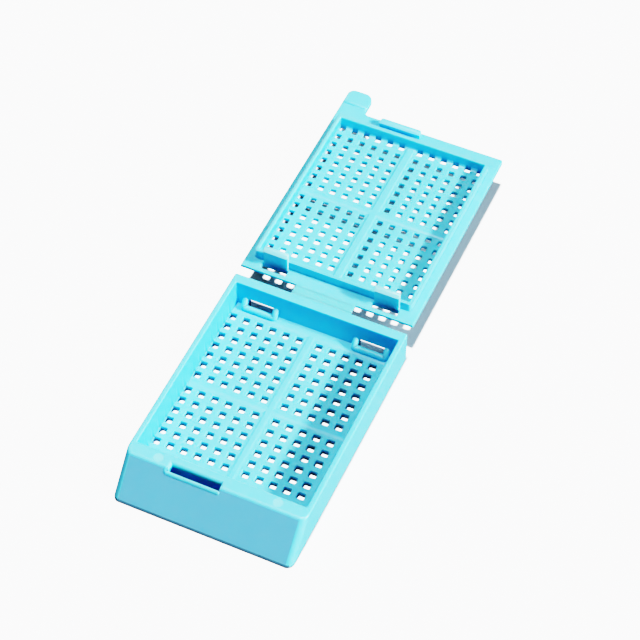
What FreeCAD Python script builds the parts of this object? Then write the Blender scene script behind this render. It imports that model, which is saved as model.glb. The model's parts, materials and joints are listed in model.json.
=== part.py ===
import FreeCAD, Part
import math
import os

import Sketcher

# A tissue cassette: a perforated tray with a writing slope, and its perforated snap lid, moulded in
# one shot and joined by a living hinge. The two halves are modelled as the tray and the lid, which
# meet at the hinge's fold line. The lid lies open and flat behind the tray, as it is moulded.
#
# Frame: X runs across the hinge, Y from the writing slope (low) to the lid (high), Z up.
# The origin is the centre of the face that the tray stands on.

sizes = {
    # outside of the tray
    "body_width": 28.5,
    "base_length": 41.0,
    "base_height": 5.9,
    "slope_run": 4.94,
    "toe_height": 0.3,
    "shelf_depth": 2.11,
    "shelf_rounding": 0.8,
    "slope_rounding": 1.0,
    "corner_rounding": 0.35,
    # walls of the tray
    "side_wall": 0.87,
    "rear_wall": 1.6,
    "shell_wall": 0.8,
    "tray_draft": 0.2,
    "floor_top": 1.3,
    "floor_under": 0.4,
    "foot_width": 0.9,
    # perforated floor: rectangular holes in four thinner fields
    "field_recess": 0.25,
    "field_rim": 0.3,
    "floor_hole_width": 1.22,
    "floor_hole_length": 1.15,
    "floor_pitch_across": 2.22,
    "floor_pitch_along": 2.02,
    "floor_rib_across": 3.28,
    "floor_rib_along": 3.09,
    "floor_row_margin": 1.4,
    "floor_grid_shift": 0.4,
    # catches for the lid's hooks: a notch through the foot of the rear wall, inside a low guard
    "catch_offset": 9.2,
    "catch_width": 4.4,
    "catch_height": 2.95,
    "guard_wall": 0.7,
    "guard_front_wall": 0.45,
    "guard_front_height": 0.7,
    "guard_reach": 1.27,
    "guard_rounding": 0.4,
    # latch slot at the top of the writing slope
    "latch_offset": 3.1,
    "latch_width": 8.0,
    "latch_back": 0.81,
    "latch_front": 0.36,
    "latch_depth": 1.8,
    "latch_lead": 0.5,
    "lip_radius": 0.32,
    "lip_sink": 0.12,
    "lip_forward": 0.12,
    "lip_overhang": 0.5,
    # marks that two ejector pins of the mould leave on the shelf
    "ejector_radius": 0.75,
    "ejector_sink": 0.05,
    "ejector_left": 9.25,
    "ejector_left_back": 0.95,
    "ejector_right": 9.45,
    "ejector_right_back": 1.15,
    # living hinge
    "hinge_gap": 1.75,
    "hinge_width": 9.8,
    "hinge_web": 0.45,
    "hinge_film": 0.2,
    "hinge_groove": 0.3,
    # plate of the lid
    "lid_plate": 0.9,
    "lid_overhang": 0.64,
    "lid_relief": 0.45,
    "lid_corner": 0.3,
    # wall of the lid, which plugs the tray with these clearances
    "lid_rib_wall": 0.65,
    "lid_rib_height": 1.65,
    "lid_rib_draft": 0.08,
    "rib_side_clearance": 0.33,
    "rib_rear_clearance": 0.6,
    "rib_front_clearance": 0.17,
    # perforated panel of the lid
    "panel_recess": 0.1,
    "panel_field_recess": 0.2,
    "panel_field_rim": 0.25,
    "lid_hole": 1.0,
    "lid_pitch_across": 2.056,
    "lid_pitch_along": 1.869,
    "lid_rib_across": 3.14,
    "lid_rib_along": 2.93,
    "lid_row_margin": 0.1,
    "panel_root": 0.6,
    # hooks of the lid
    "hook_width": 4.1,
    "hook_wall": 0.65,
    "hook_clearance": 0.06,
    "catch_clearance": 0.05,
    "barb_reach": 0.3,
    "barb_rise": 0.4,
    "hook_slot_start": 0.7,
    # latch bead of the lid
    "bead_end_clearance": 0.5,
    "bead_clearance": 0.12,
    "bead_height": 1.25,
    "bead_neck": 0.72,
    "bead_nose": 0.25,
    "bead_nose_height": 0.95,
    "bead_rounding": 0.3,
    # finger tab of the lid
    "tab_width": 4.3,
    "tab_length": 4.4,
    "tab_corner_outer": 1.1,
    "tab_corner_inner": 1.5,
    "tab_fillet": 0.8,
    "tab_ridge_place": 1.35,
    "tab_ridge_radius": 0.3,
    "tab_ridge_sink": 0.1,
}

doc = FreeCAD.newDocument("tissue_cassette")
sheet = doc.addObject("Spreadsheet::Sheet", "Sizes")
for row, (alias, value) in enumerate(sizes.items(), start=1):
    sheet.set(f"A{row}", alias.replace("_", " "))
    sheet.set(f"B{row}", str(value))
    sheet.setAlias(f"B{row}", alias)
doc.recompute()

# Places that both halves share, as expressions over the sheet.
rear = "Sizes.base_length / 2"
side = "Sizes.body_width / 2"
fold = f"({rear} + Sizes.hinge_gap / 2)"
shelf_edge = f"({rear} - Sizes.base_length + Sizes.slope_run)"
tray_front = f"({shelf_edge} + Sizes.shelf_depth)"
tray_rear = f"({rear} - Sizes.rear_wall)"
tray_side = f"({side} - Sizes.side_wall)"
tray_deep = "(Sizes.base_height - Sizes.floor_top)"
slope_rise = "(Sizes.base_height - Sizes.toe_height)"
slope_ratio = f"({slope_rise} / Sizes.slope_run)"
slope_angle = f"atan({slope_ratio})"
latch_rear = f"({shelf_edge} + Sizes.latch_back)"
latch_front = f"({shelf_edge} - Sizes.latch_front)"


def new_body(label):
    """Start the PartDesign body of one moulded half."""
    body = doc.addObject("PartDesign::Body", label)
    body.Label = label
    return body


def plane_of(body, role):
    """Return the origin plane or axis of a body by its role."""
    return next(item for item in body.Origin.OriginFeatures if item.Role == role)


def new_sketch(body, name, role="XY_Plane", offset="0"):
    """Add a sketch on an origin plane of the body, shifted along the plane's normal."""
    sketch = body.newObject("Sketcher::SketchObject", name)
    sketch.AttachmentSupport = [(plane_of(body, role), "")]
    sketch.MapMode = "FlatFace"
    sketch.setExpression("AttachmentOffset.Base.z", offset)
    return sketch


def bind(sketch, kind, item, point, place, value):
    """Dimension a point of the sketch from its origin and bind the dimension to an expression."""
    number = sketch.addConstraint(Sketcher.Constraint(kind, -1, 1, item, point, value))
    sketch.setExpression(f"Constraints[{number}]", place)


def points_of(sketch, places):
    """Work out where pairs of expressions lie now."""
    return [FreeCAD.Vector(*(float(sketch.evalExpression(text)) for text in place)) for place in places]


def add_polygon(sketch, corners):
    """Draw a closed polygon whose corners are pairs of expressions.

    A side whose ends share an expression is made horizontal or vertical, and every coordinate
    that is still free gets one dimension from the sketch's origin.
    """
    first = sketch.GeometryCount
    count = len(corners)
    ring = [FreeCAD.Vector(1, 0, 0)]
    for _ in range(count - 1):
        ring.append(FreeCAD.Rotation(FreeCAD.Vector(0, 0, 1), 360 / count).multVec(ring[-1]))
    for index in range(count):
        sketch.addGeometry(Part.LineSegment(ring[index], ring[(index + 1) % count]), False)
    for index in range(count):
        following = (index + 1) % count
        sketch.addConstraint(Sketcher.Constraint("Coincident", first + index, 2, first + following, 1))
    for axis, (dimension, parallel) in enumerate((("DistanceX", "Vertical"), ("DistanceY", "Horizontal"))):
        shared = [corners[index][axis] == corners[(index + 1) % count][axis] for index in range(count)]
        for index in range(count):
            if shared[index]:
                sketch.addConstraint(Sketcher.Constraint(parallel, first + index))
            tied_to_previous = index > 0 and shared[index - 1]
            tied_to_first = index == count - 1 and shared[index]
            if tied_to_previous or tied_to_first:
                continue
            bind(sketch, dimension, first + index, 1, corners[index][axis], ring[index][axis])


def add_rectangle(sketch, left, right, low, high):
    """Draw a rectangle between four expressions."""
    add_polygon(sketch, [(left, low), (right, low), (right, high), (left, high)])


def add_line(sketch, places):
    """Draw an open line through pairs of expressions and bind all its points."""
    points = points_of(sketch, places)
    for index, point in enumerate(points[1:]):
        sketch.addGeometry(Part.LineSegment(points[index], point), False)
        if index:
            sketch.addConstraint(Sketcher.Constraint("Coincident", index - 1, 2, index, 1))
    for index, (place, point) in enumerate(zip(places, points)):
        item, end = (index, 1) if index < len(points) - 1 else (index - 1, 2)
        bind(sketch, "DistanceX", item, end, place[0], point.x)
        bind(sketch, "DistanceY", item, end, place[1], point.y)


def add_circle(sketch, across, along, radius):
    """Draw a circle whose centre and radius are expressions."""
    circle = sketch.addGeometry(Part.Circle(FreeCAD.Vector(1, 1, 0), FreeCAD.Vector(0, 0, 1), 1), False)
    bind(sketch, "DistanceX", circle, 3, across, 1.0)
    bind(sketch, "DistanceY", circle, 3, along, 1.0)
    number = sketch.addConstraint(Sketcher.Constraint("Radius", circle, 1.0))
    sketch.setExpression(f"Constraints[{number}]", radius)


def add_spandrel(sketch, places, centre):
    """Draw an open line and close it with an arc about a centre.

    The places and the centre are pairs of expressions. The last place is where the arc ends: it is
    bound across only, because its height follows from the arc.
    """
    add_line(sketch, places[:-1])
    *corners, middle = points_of(sketch, places[:-1] + [centre])
    end = len(corners) - 1
    radius = corners[0].distanceToPoint(middle)
    across = float(sketch.evalExpression(places[-1])) - middle.x
    up = math.copysign(math.sqrt(radius ** 2 - across ** 2), corners[-1].y - middle.y)
    meets = middle + FreeCAD.Vector(across, up)
    sketch.addGeometry(Part.LineSegment(corners[-1], meets), False)
    turns = [math.atan2(point.y - middle.y, point.x - middle.x) for point in (corners[0], meets)]
    circle = Part.Circle(middle, FreeCAD.Vector(0, 0, 1), radius)
    arc = sketch.addGeometry(Part.ArcOfCircle(circle, *sorted(turns)), False)
    first, last = (1, 2) if turns[0] < turns[1] else (2, 1)
    for item, point, other, other_point in ((end - 1, 2, end, 1), (0, 1, arc, first), (end, 2, arc, last)):
        sketch.addConstraint(Sketcher.Constraint("Coincident", item, point, other, other_point))
    bind(sketch, "DistanceX", arc, 3, centre[0], middle.x)
    bind(sketch, "DistanceY", arc, 3, centre[1], middle.y)
    bind(sketch, "DistanceX", end, 2, places[-1], meets.x)


def extrude(body, kind, sketch, name, length, reverse=False, symmetric=False, taper=None):
    """Pad or pocket a sketch by a bound length, and check that it changed the solid the right way."""
    before = body.Tip.Shape.Volume if body.Tip else 0.0
    feature = body.newObject(f"PartDesign::{kind}", name)
    feature.Profile = sketch
    feature.Reversed = reverse
    if symmetric:
        feature.SideType = "Symmetric"
    feature.setExpression("Length", length)
    if taper:
        feature.setExpression("TaperAngle", taper)
    doc.recompute()
    change = feature.Shape.Volume - before
    if (change > 0) != (kind == "Pad"):
        raise RuntimeError(f"{name} changed the solid by {change:.3f} cubic mm")
    return feature


def sweep(body, name, section, path):
    """Add a section swept along a path with round corners."""
    before = body.Tip.Shape.Volume
    feature = body.newObject("PartDesign::AdditivePipe", name)
    feature.Profile = section
    feature.Spine = (path, [f"Edge{number}" for number in range(1, path.GeometryCount + 1)])
    feature.Transition = "Round corner"
    doc.recompute()
    if not feature.isValid() or feature.Shape.Volume <= before:
        raise RuntimeError(f"{name} added nothing")


def dress(body, kind, name, size, chooses):
    """Fillet or chamfer the edges of the body's tip whose bounding box passes a test."""
    base = body.Tip
    names = [f"Edge{number}" for number, edge in enumerate(base.Shape.Edges, start=1)
             if chooses(edge.BoundBox)]
    if not names:
        raise RuntimeError(f"{name} found no edge")
    feature = body.newObject(f"PartDesign::{kind}", name)
    feature.Base = (base, names)
    feature.setExpression("Radius" if kind == "Fillet" else "Size", size)
    doc.recompute()
    if not feature.isValid():
        raise RuntimeError(f"{name} failed on {names}")
    return feature


def repeat(body, name, original, across, along):
    """Repeat a pocket in a grid, each direction a pair of pitch and count, and mirror it over X = 0."""
    multi = body.newObject("PartDesign::MultiTransform", name)
    multi.Originals = [original]
    multi.Refine = False
    grid = body.newObject("PartDesign::LinearPattern", f"{name}_grid")
    grid.Direction = (plane_of(body, "X_Axis"), [""])
    grid.Mode = "Spacing"
    grid.setExpression("Offset", across[0])
    grid.setExpression("Occurrences", across[1])
    grid.Direction2 = (plane_of(body, "Y_Axis"), [""])
    grid.Mode2 = "Spacing"
    grid.setExpression("Offset2", along[0])
    grid.setExpression("Occurrences2", along[1])
    mirror = body.newObject("PartDesign::Mirrored", f"{name}_mirror")
    mirror.MirrorPlane = (plane_of(body, "YZ_Plane"), [""])
    multi.Transformations = [grid, mirror]
    body.Tip = multi
    doc.recompute()


def near(value, target):
    """Compare two lengths within a hundredth of a millimetre."""
    return abs(value - target) < 0.01


def grid_count(room, pitch):
    """Expression for how many steps of a pitch fit in the room between first and last hole."""
    return f"floor(({room}) / {pitch}) + 1"


# ---------------------------------------------------------------- tray


def tray_block(base):
    """The outer form: a low block whose front end is the writing slope over an upright toe."""
    profile = new_sketch(base, "side_profile", "YZ_Plane")
    add_polygon(profile, [
        (f"{rear} - Sizes.base_length", "0"),
        (rear, "0"),
        (rear, "Sizes.base_height"),
        (shelf_edge, "Sizes.base_height"),
        (f"{rear} - Sizes.base_length", "Sizes.toe_height"),
    ])
    extrude(base, "Pad", profile, "block", "Sizes.body_width", symmetric=True)
    half, back = sheet.body_width / 2, sheet.base_length / 2
    front = back - sheet.base_length

    def on_side(box):
        return box.XLength < 0.01 and near(abs(box.XMin), half)

    dress(base, "Fillet", "toe_corners", "Sizes.slope_rounding",
          lambda box: on_side(box) and near(box.YMax, front))
    dress(base, "Fillet", "slope_sides", "Sizes.slope_rounding",
          lambda box: on_side(box) and box.YLength > 1 and box.ZLength > 1)
    dress(base, "Fillet", "rear_corners", "Sizes.corner_rounding",
          lambda box: near(box.YMin, back) and near(box.YMax, back) and box.ZLength > 1)

    # The shelf's round edge is a cut, because a fillet would run on along the whole rim.
    over = "Sizes.base_height + Sizes.shelf_rounding"
    setback = f"Sizes.shelf_rounding * tan({slope_angle} / 2)"
    centre = f"({shelf_edge} + {setback})"
    meets = f"({shelf_edge} - {setback} * cos({slope_angle}))"
    edge = new_sketch(base, "shelf_round_outline", "YZ_Plane")
    add_spandrel(edge, [(centre, "Sizes.base_height"), (centre, over), (meets, over), meets],
                 (centre, "Sizes.base_height - Sizes.shelf_rounding"))
    extrude(base, "Pocket", edge, "shelf_round", "Sizes.body_width", symmetric=True)


def tray_cavity(base):
    """The specimen space, drafted to leave the mould, and the hollows under the floor and slope."""
    mouth = new_sketch(base, "tray_mouth", offset="Sizes.base_height")
    add_rectangle(mouth, f"-{tray_side}", tray_side, tray_front, tray_rear)
    extrude(base, "Pocket", mouth, "tray", tray_deep, taper=f"-atan(Sizes.tray_draft / {tray_deep})")

    under = new_sketch(base, "floor_underside")
    add_rectangle(under, f"-({side} - Sizes.foot_width)", f"{side} - Sizes.foot_width",
                  f"{tray_front} - Sizes.shell_wall", f"{rear} - Sizes.foot_width")
    extrude(base, "Pocket", under, "floor_relief", "Sizes.floor_under", reverse=True)

    hollow = new_sketch(base, "slope_underside", "YZ_Plane")
    wall = f"({tray_front} - Sizes.shell_wall)"
    ceiling = "(Sizes.base_height - Sizes.shell_wall)"
    skin = f"Sizes.shell_wall / sin({slope_angle})"
    add_polygon(hollow, [
        (f"{rear} - Sizes.base_length + {skin} - Sizes.toe_height / {slope_ratio}", "0"),
        (wall, "0"),
        (wall, ceiling),
        (f"{shelf_edge} + {skin} - Sizes.shell_wall / {slope_ratio}", ceiling),
    ])
    extrude(base, "Pocket", hollow, "slope_hollow", "Sizes.body_width - 2 * Sizes.side_wall", symmetric=True)


def tray_catches(base):
    """Two notches through the foot of the rear wall, each behind a low guard with a sloping top."""
    foot = f"({tray_rear} - Sizes.tray_draft)"
    front = f"({tray_rear} - Sizes.guard_reach)"
    for name, sign in (("left", "-"), ("right", "")):
        guard = new_sketch(base, f"guard_{name}_profile", "YZ_Plane", f"{sign}Sizes.catch_offset")
        add_polygon(guard, [
            (front, "Sizes.floor_under"),
            (tray_rear, "Sizes.floor_under"),
            (tray_rear, "Sizes.catch_height"),
            (foot, "Sizes.catch_height"),
            (front, "Sizes.floor_top + Sizes.guard_front_height"),
        ])
        extrude(base, "Pad", guard, f"guard_{name}", "Sizes.catch_width + 2 * Sizes.guard_wall",
                symmetric=True)
    face = sheet.base_length / 2 - sheet.rear_wall - sheet.guard_reach
    dress(base, "Fillet", "guard_corners", "Sizes.guard_rounding",
          lambda box: near(box.YMin, face) and near(box.YMax, face)
          and box.XLength < 0.01 and box.ZMin > sheet.floor_top - 0.01)
    notch = new_sketch(base, "catch_notches")
    for sign in ("-", ""):
        middle = f"{sign}Sizes.catch_offset"
        add_rectangle(notch, f"{middle} - Sizes.catch_width / 2", f"{middle} + Sizes.catch_width / 2",
                      f"{front} + Sizes.guard_front_wall", f"{rear} + Sizes.rear_wall")
    extrude(base, "Pocket", notch, "catch", "Sizes.catch_height", reverse=True)


def tray_latch(base):
    """The slot that the lid's bead snaps into, with a round lead-in behind it and a lip around it."""
    left = "(-Sizes.latch_offset - Sizes.latch_width / 2)"
    right = "(-Sizes.latch_offset + Sizes.latch_width / 2)"

    # The lip is a round bar sunk in the slope. It lies in front of the slot, turns the slot's left
    # corner and ends where its crest reaches the shelf.
    ahead = "(Sizes.latch_front + Sizes.lip_forward)"
    turn = f"{left} - Sizes.lip_overhang"
    end = f"(Sizes.lip_radius * cos({slope_angle}) - Sizes.lip_sink) / sin({slope_angle})"
    path = new_sketch(base, "lip_path", offset="Sizes.base_height - Sizes.lip_sink")
    path.AttachmentOffset = FreeCAD.Placement(FreeCAD.Vector(), FreeCAD.Rotation(FreeCAD.Vector(1, 0, 0), 45))
    path.setExpression("AttachmentOffset.Base.y", shelf_edge)
    path.setExpression("AttachmentOffset.Rotation.Angle", slope_angle)
    down = f"-{ahead} / cos({slope_angle})"
    add_line(path, [(right, down), (turn, down), (turn, f"-{end}")])
    bar = new_sketch(base, "lip_section", "YZ_Plane", right)
    add_circle(bar, f"{shelf_edge} - {ahead}",
               f"Sizes.base_height - {ahead} * {slope_ratio} - Sizes.lip_sink", "Sizes.lip_radius")
    sweep(base, "lip", bar, path)

    slot = new_sketch(base, "latch_opening", offset="Sizes.base_height")
    add_rectangle(slot, left, right, latch_front, latch_rear)
    extrude(base, "Pocket", slot, "latch_slot", "Sizes.latch_depth")
    back = sheet.base_length / 2 - sheet.base_length + sheet.slope_run + sheet.latch_back
    dress(base, "Fillet", "latch_lead_in", "Sizes.latch_lead",
          lambda box: near(box.ZMin, sheet.base_height) and near(box.YMin, back) and near(box.YMax, back))

    marks = new_sketch(base, "ejector_outlines", offset="Sizes.base_height")
    for across, name in (("-Sizes.ejector_left", "left"), ("Sizes.ejector_right", "right")):
        add_circle(marks, across, f"{shelf_edge} + Sizes.ejector_{name}_back", "Sizes.ejector_radius")
    extrude(base, "Pocket", marks, "ejector_marks", "Sizes.ejector_sink")


def hinge_half(body, name, start):
    """Half of the hinge web, from its root to the fold line, thinned from below at the fold."""
    web = new_sketch(body, f"{name}_profile", "YZ_Plane")
    toward = "-" if start == rear else "+"
    add_polygon(web, [
        (start, "Sizes.base_height - Sizes.hinge_web"),
        (start, "Sizes.base_height"),
        (fold, "Sizes.base_height"),
        (fold, "Sizes.base_height - Sizes.hinge_film"),
        (f"{fold} {toward} Sizes.hinge_groove", "Sizes.base_height - Sizes.hinge_web"),
    ])
    extrude(body, "Pad", web, name, "Sizes.hinge_width", symmetric=True)


def tray_floor(base):
    """Four thinned fields and the grid of holes, whose pins also flute the drafted side walls."""
    middle = f"(({tray_front} + {tray_rear}) / 2 - Sizes.floor_grid_shift)"
    half_length = f"(({tray_rear} - {tray_front}) / 2 - Sizes.tray_draft)"
    rib_across = "Sizes.floor_rib_across / 2"
    rib_along = "Sizes.floor_rib_along / 2"
    columns = grid_count(f"{tray_side} - {rib_across} - Sizes.floor_hole_width / 2",
                         "Sizes.floor_pitch_across")
    rows = grid_count(f"{half_length} - Sizes.floor_row_margin - {rib_along} - Sizes.floor_hole_length / 2",
                      "Sizes.floor_pitch_along")
    reach_across = f"({rib_across} + ({columns} - 1) * Sizes.floor_pitch_across)"
    reach_along = f"({rib_along} + ({rows} - 1) * Sizes.floor_pitch_along)"

    fields = new_sketch(base, "field_outlines", offset="Sizes.floor_top")
    inner_x = f"({rib_across} - Sizes.floor_hole_width / 2 - Sizes.field_rim)"
    inner_y = f"({rib_along} - Sizes.floor_hole_length / 2 - Sizes.field_rim)"
    outer_x = f"({tray_side} - Sizes.tray_draft)"
    outer_y = f"({reach_along} + Sizes.floor_hole_length / 2 + Sizes.field_rim)"
    for left, right in ((f"-{outer_x}", f"-{inner_x}"), (inner_x, outer_x)):
        for low, high in ((f"{middle} - {outer_y}", f"{middle} - {inner_y}"),
                          (f"{middle} + {inner_y}", f"{middle} + {outer_y}")):
            add_rectangle(fields, left, right, low, high)
    extrude(base, "Pocket", fields, "fields", "Sizes.field_recess")

    hole = new_sketch(base, "floor_hole_outline", offset="Sizes.base_height")
    half_hole = "Sizes.floor_hole_length / 2"
    for centre in (f"{middle} - {reach_along}", f"{middle} + {rib_along}"):
        add_rectangle(hole, f"{rib_across} - Sizes.floor_hole_width / 2",
                      f"{rib_across} + Sizes.floor_hole_width / 2",
                      f"{centre} - {half_hole}", f"{centre} + {half_hole}")
    first = extrude(base, "Pocket", hole, "floor_hole", "Sizes.base_height")
    repeat(base, "floor_holes", first, ("Sizes.floor_pitch_across", columns),
           ("Sizes.floor_pitch_along", rows))


def make_base():
    """Model the tray half."""
    base = new_body("base")
    tray_block(base)
    tray_cavity(base)
    tray_catches(base)
    tray_latch(base)
    hinge_half(base, "tray_web", rear)
    tray_floor(base)
    return base


# ---------------------------------------------------------------- lid

lid_near = f"({rear} + Sizes.hinge_gap)"
lid_length = "(Sizes.base_length - Sizes.slope_run + Sizes.lid_overhang)"
lid_far = f"({lid_near} + {lid_length})"
top = "Sizes.base_height"


def folded(distance):
    """Place on the open lid of what lies this far in front of the tray's rear face when it is shut."""
    return f"({lid_near} + {distance})"


rib_near = folded("Sizes.rear_wall + Sizes.rib_rear_clearance")
rib_far = folded("Sizes.base_length - Sizes.slope_run - Sizes.shelf_depth - Sizes.rib_front_clearance")
rib_side = f"({tray_side} - Sizes.rib_side_clearance)"
panel_near = f"({rib_near} + Sizes.lid_rib_wall)"
panel_far = f"({rib_far} - Sizes.lid_rib_wall)"
panel_side = f"({rib_side} - Sizes.lid_rib_wall)"


def lid_plate(lid):
    """The flat plate with its finger tab at the far corner and its relieved edge at the hinge."""
    outline = new_sketch(lid, "lid_outline", offset=f"{top} - Sizes.lid_plate")
    tab_side = f"Sizes.tab_width - {side}"
    add_polygon(outline, [
        (f"-{side}", lid_near), (side, lid_near), (side, lid_far), (tab_side, lid_far),
        (tab_side, f"{lid_far} + Sizes.tab_length"), (f"-{side}", f"{lid_far} + Sizes.tab_length"),
    ])
    extrude(lid, "Pad", outline, "plate", "Sizes.lid_plate")
    half = sheet.body_width / 2
    start = sheet.base_length / 2 + sheet.hinge_gap
    end = start + sheet.base_length - sheet.slope_run + sheet.lid_overhang
    inner = sheet.tab_width - half

    def upright(across, along):
        return lambda box: (box.ZLength > 0.5 and near(box.XMin, across) and near(box.XMax, across)
                            and near(box.YMin, along) and near(box.YMax, along))

    dress(lid, "Fillet", "tab_outer_corner", "Sizes.tab_corner_outer", upright(-half, end + sheet.tab_length))
    dress(lid, "Fillet", "tab_inner_corner", "Sizes.tab_corner_inner", upright(inner, end + sheet.tab_length))
    dress(lid, "Fillet", "tab_root", "Sizes.tab_fillet", upright(inner, end))
    dress(lid, "Fillet", "lid_corner", "Sizes.lid_corner", upright(half, end))
    dress(lid, "Chamfer", "near_edge_relief", "Sizes.lid_relief",
          lambda box: near(box.YMin, start) and near(box.YMax, start) and box.XLength > 1
          and box.ZMax < sheet.base_height - 0.1)

    ridge = new_sketch(lid, "tab_ridge_profile", "YZ_Plane", f"({tab_side} - {side}) / 2")
    add_circle(ridge, f"{lid_far} + Sizes.tab_ridge_place", f"{top} - Sizes.tab_ridge_sink",
               "Sizes.tab_ridge_radius")
    extrude(lid, "Pad", ridge, "tab_ridge", "Sizes.tab_width", symmetric=True)


def lid_rib(lid):
    """The drafted wall that plugs the tray, and the panel inside it, set a little lower."""
    outer = new_sketch(lid, "rib_outline", offset=top)
    add_rectangle(outer, f"-{rib_side}", rib_side, rib_near, rib_far)
    extrude(lid, "Pad", outer, "rib_block", "Sizes.lid_rib_height",
            taper="-atan(Sizes.lid_rib_draft / Sizes.lid_rib_height)")
    inner = new_sketch(lid, "panel_outline", offset=f"{top} + Sizes.lid_rib_height")
    add_rectangle(inner, f"-{panel_side}", panel_side, panel_near, panel_far)
    extrude(lid, "Pocket", inner, "panel", "Sizes.lid_rib_height + Sizes.panel_recess")


def lid_hooks(lid):
    """Two barbed hooks on the hinge side, each with the slot that its barb is moulded through."""
    drafted = f"Sizes.tray_draft * (Sizes.base_height - Sizes.catch_height) / {tray_deep}"
    face = folded(f"Sizes.rear_wall + {drafted} + Sizes.hook_clearance")
    back = f"({face} + Sizes.hook_wall)"
    catch = f"({top} + Sizes.base_height - Sizes.catch_height + Sizes.catch_clearance)"
    tip = f"({catch} + Sizes.barb_rise)"
    slots = new_sketch(lid, "hook_slot_outlines", offset=top)
    for name, sign in (("left", "-"), ("right", "")):
        middle = f"{sign}Sizes.catch_offset"
        hook = new_sketch(lid, f"hook_{name}_profile", "YZ_Plane", middle)
        add_polygon(hook, [
            (face, f"{top} - Sizes.lid_plate / 2"),
            (back, f"{top} - Sizes.lid_plate / 2"),
            (back, tip),
            (f"{back} - Sizes.barb_reach", tip),
            (f"{face} - Sizes.barb_reach", catch),
            (face, catch),
        ])
        extrude(lid, "Pad", hook, f"hook_{name}", "Sizes.hook_width", symmetric=True)
        add_rectangle(slots, f"{middle} - Sizes.catch_width / 2 + Sizes.catch_clearance",
                      f"{middle} + Sizes.catch_width / 2 - Sizes.catch_clearance",
                      f"{lid_near} + Sizes.hook_slot_start", face)
    extrude(lid, "Pocket", slots, "hook_slots", "Sizes.lid_plate")


def lid_bead(lid):
    """The snap bead on the far edge: a neck, a nose toward the tray and a rounded back."""
    middle = "-Sizes.latch_offset"
    inward = folded(f"Sizes.base_length - Sizes.slope_run - Sizes.latch_back + Sizes.bead_clearance")
    outward = folded(f"Sizes.base_length - Sizes.slope_run + Sizes.latch_front - Sizes.bead_clearance / 2")
    bead = new_sketch(lid, "bead_profile", "YZ_Plane", middle)
    add_polygon(bead, [
        (inward, f"{top} - Sizes.lid_plate / 2"),
        (outward, f"{top} - Sizes.lid_plate / 2"),
        (outward, f"{top} + Sizes.bead_height"),
        (f"{inward} + Sizes.bead_nose", f"{top} + Sizes.bead_height"),
        (f"{inward} - Sizes.bead_nose", f"{top} + Sizes.bead_nose_height"),
        (inward, f"{top} + Sizes.bead_neck"),
    ])
    extrude(lid, "Pad", bead, "bead", "Sizes.latch_width - 2 * Sizes.bead_end_clearance", symmetric=True)
    crest = sheet.base_height + sheet.bead_height
    dress(lid, "Fillet", "bead_round", "Sizes.bead_rounding",
          lambda box: near(box.ZMin, crest) and near(box.ZMax, crest) and box.XLength > 1)


def lid_panel(lid):
    """Four thinned fields and the grid of holes; the row at the far wall is flush with it."""
    half_hole = "Sizes.lid_hole / 2"
    rib_across = "Sizes.lid_rib_across / 2"
    columns = grid_count(f"{panel_side} - {rib_across} - {half_hole}", "Sizes.lid_pitch_across")
    last_row = f"({panel_far} - {half_hole})"
    room = f"({panel_far} - {panel_near} - Sizes.lid_row_margin - Sizes.lid_hole - Sizes.lid_rib_along)"
    gaps = f"floor({room} / Sizes.lid_pitch_along)"
    far_rows = f"(floor({gaps} / 2 + 0.5) + 1)"
    near_rows = f"(floor({gaps} / 2) + 1)"
    far_start = f"({last_row} - ({far_rows} - 1) * Sizes.lid_pitch_along)"
    near_end = f"({far_start} - Sizes.lid_rib_along)"
    near_start = f"({near_end} - ({near_rows} - 1) * Sizes.lid_pitch_along)"

    panel_floor = f"{top} - Sizes.panel_recess"
    fields = new_sketch(lid, "panel_fields", offset=panel_floor)
    inner_x = f"({rib_across} - {half_hole} - Sizes.panel_field_rim)"
    rim = f"({half_hole} + Sizes.panel_field_rim)"
    for left, right in ((f"-{panel_side}", f"-{inner_x}"), (inner_x, panel_side)):
        add_rectangle(fields, left, right, panel_near, f"{near_end} + {rim}")
        add_rectangle(fields, left, right, f"{far_start} - {rim}", panel_far)
    extrude(lid, "Pocket", fields, "panel_thinning", "Sizes.panel_field_recess")

    # The far wall grows out of the thinned fields with a round root, which the last pins cut through.
    low = f"({panel_floor} - Sizes.panel_field_recess)"
    root = new_sketch(lid, "wall_root_outline", "YZ_Plane")
    foot, crest = f"({panel_far} - Sizes.panel_root)", f"({low} + Sizes.panel_root)"
    add_spandrel(root, [(panel_far, crest), (panel_far, low), foot], (foot, crest))
    extrude(lid, "Pad", root, "wall_root", f"2 * {panel_side}", symmetric=True)

    for name, start, rows in (("near", near_start, near_rows), ("far", far_start, far_rows)):
        hole = new_sketch(lid, f"{name}_hole_outline", offset=f"{top} + Sizes.panel_root")
        add_rectangle(hole, f"{rib_across} - {half_hole}", f"{rib_across} + {half_hole}",
                      f"{start} - {half_hole}", f"{start} + {half_hole}")
        first = extrude(lid, "Pocket", hole, f"{name}_hole", "Sizes.lid_plate + Sizes.panel_root")
        repeat(lid, f"{name}_holes", first, ("Sizes.lid_pitch_across", columns),
               ("Sizes.lid_pitch_along", rows))


def make_lid():
    """Model the lid half, open and flat."""
    lid = new_body("lid")
    lid_plate(lid)
    lid_rib(lid)
    lid_hooks(lid)
    lid_bead(lid)
    hinge_half(lid, "lid_web", lid_near)
    lid_panel(lid)
    return lid


halves = [make_base(), make_lid()]
doc.recompute()

for item in doc.Objects:
    if "Invalid" in item.State or "Error" in item.State:
        raise RuntimeError(f"{item.Name} failed: {item.State}")
os.makedirs("parts", exist_ok=True)
for half in halves:
    shape = half.Shape
    if shape.isNull() or not shape.isValid() or len(shape.Solids) != 1:
        raise RuntimeError(f"{half.Label} is not one valid solid")
    shape.exportStep(f"parts/{half.Label}.step")
    print(half.Label, round(shape.Volume, 2), "cubic mm", len(shape.Faces), "faces")
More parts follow.
